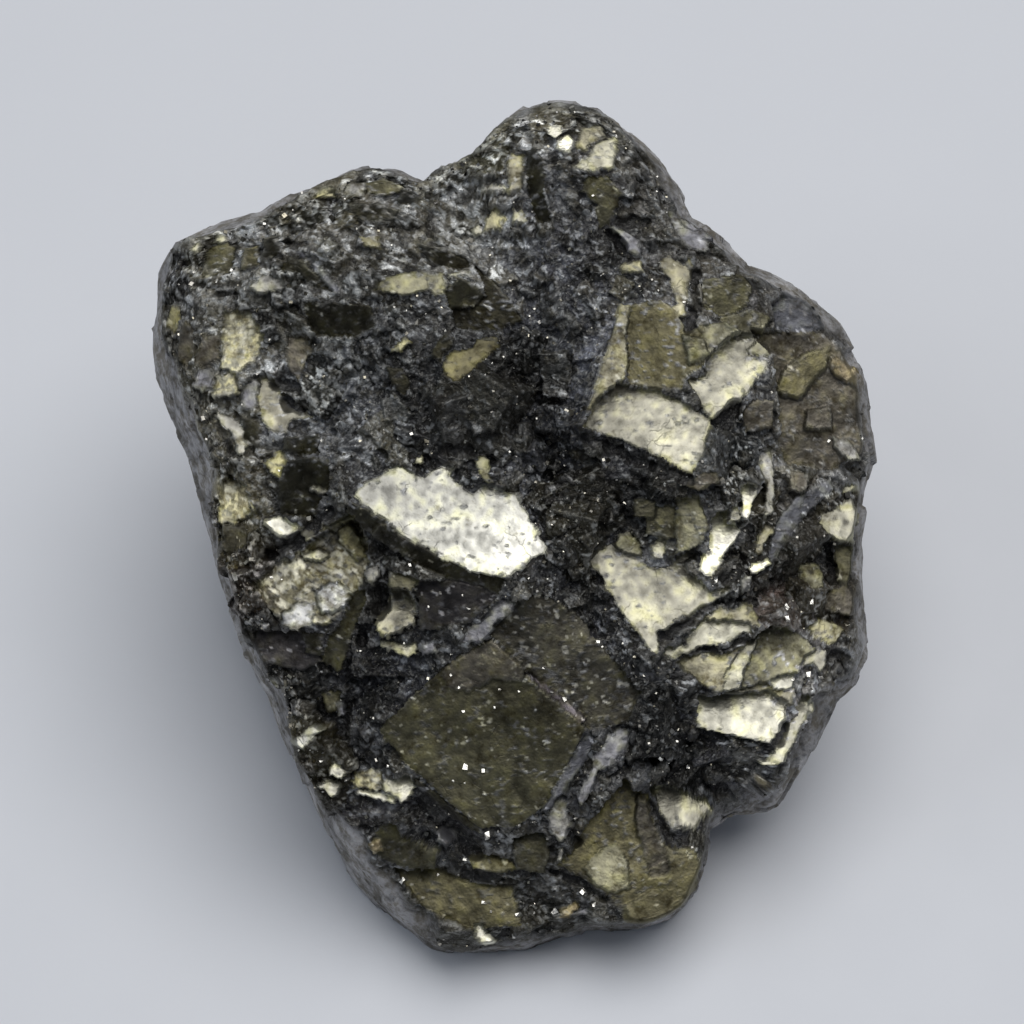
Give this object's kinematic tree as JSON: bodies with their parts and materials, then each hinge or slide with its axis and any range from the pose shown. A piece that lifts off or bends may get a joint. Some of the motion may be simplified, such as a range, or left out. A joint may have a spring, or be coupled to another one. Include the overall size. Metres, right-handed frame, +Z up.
{
  "type": "pyrite crystal specimen",
  "caption": "Thumbnail-size pyrite specimen: a chip of dark granular matrix whose sloping broken face is set with intergrown brassy cubes, resting on a flat broken base.",
  "frame": {"origin": "centre of the bounding box at the flat base the specimen rests on", "axes": "+Z up from the base; the crystal-rich face slopes up towards +Y and looks towards -Y and +Z; +X to the right of a viewer in front of that face"},
  "size_m": [0.0227, 0.0235, 0.0165],
  "materials": {
    "pyrite": "brassy metallic crystal faces, some bright and some tarnished olive, in a dark blue-grey granular matrix"
  },
  "bodies": {
    "root": {"pyrite_crystal": "pyrite"}
  },
  "joints": []
}
